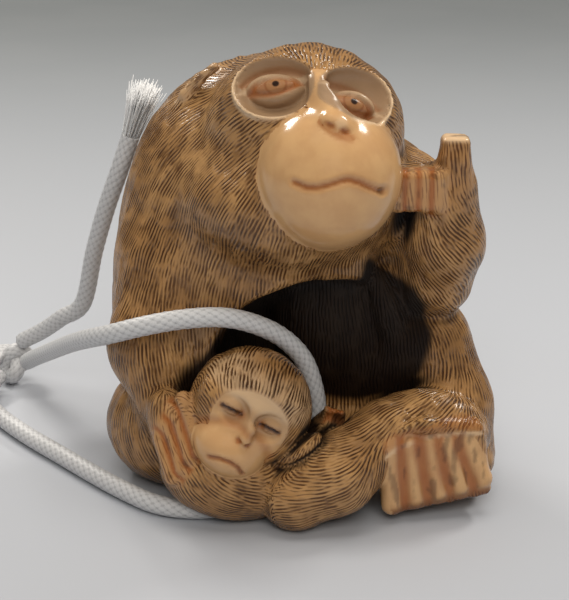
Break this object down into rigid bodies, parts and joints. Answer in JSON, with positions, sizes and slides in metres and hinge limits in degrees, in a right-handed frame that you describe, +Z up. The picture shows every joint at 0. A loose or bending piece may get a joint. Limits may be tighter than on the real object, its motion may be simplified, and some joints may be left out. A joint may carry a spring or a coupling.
{
  "type": "netsuke",
  "caption": "Carved netsuke of a seated monkey holding her young in her lap, threaded on a knotted loop of braided cord.",
  "frame": {"origin": "on the surface it stands on, under the middle of the carving's bounding box", "axes": "+Z up, the figures face -Y, +X is to the viewer's right"},
  "size_m": [0.057, 0.0432, 0.0462],
  "materials": {
    "ivory": "polished ivory, stained brown in the hair and left cream on the faces, fingers and toes",
    "cord": "white braided nylon cord"
  },
  "bodies": {
    "root": {"carving": "ivory", "cord_loop": "cord", "cord_knot": "cord", "cord_tail": "cord"}
  },
  "joints": []
}
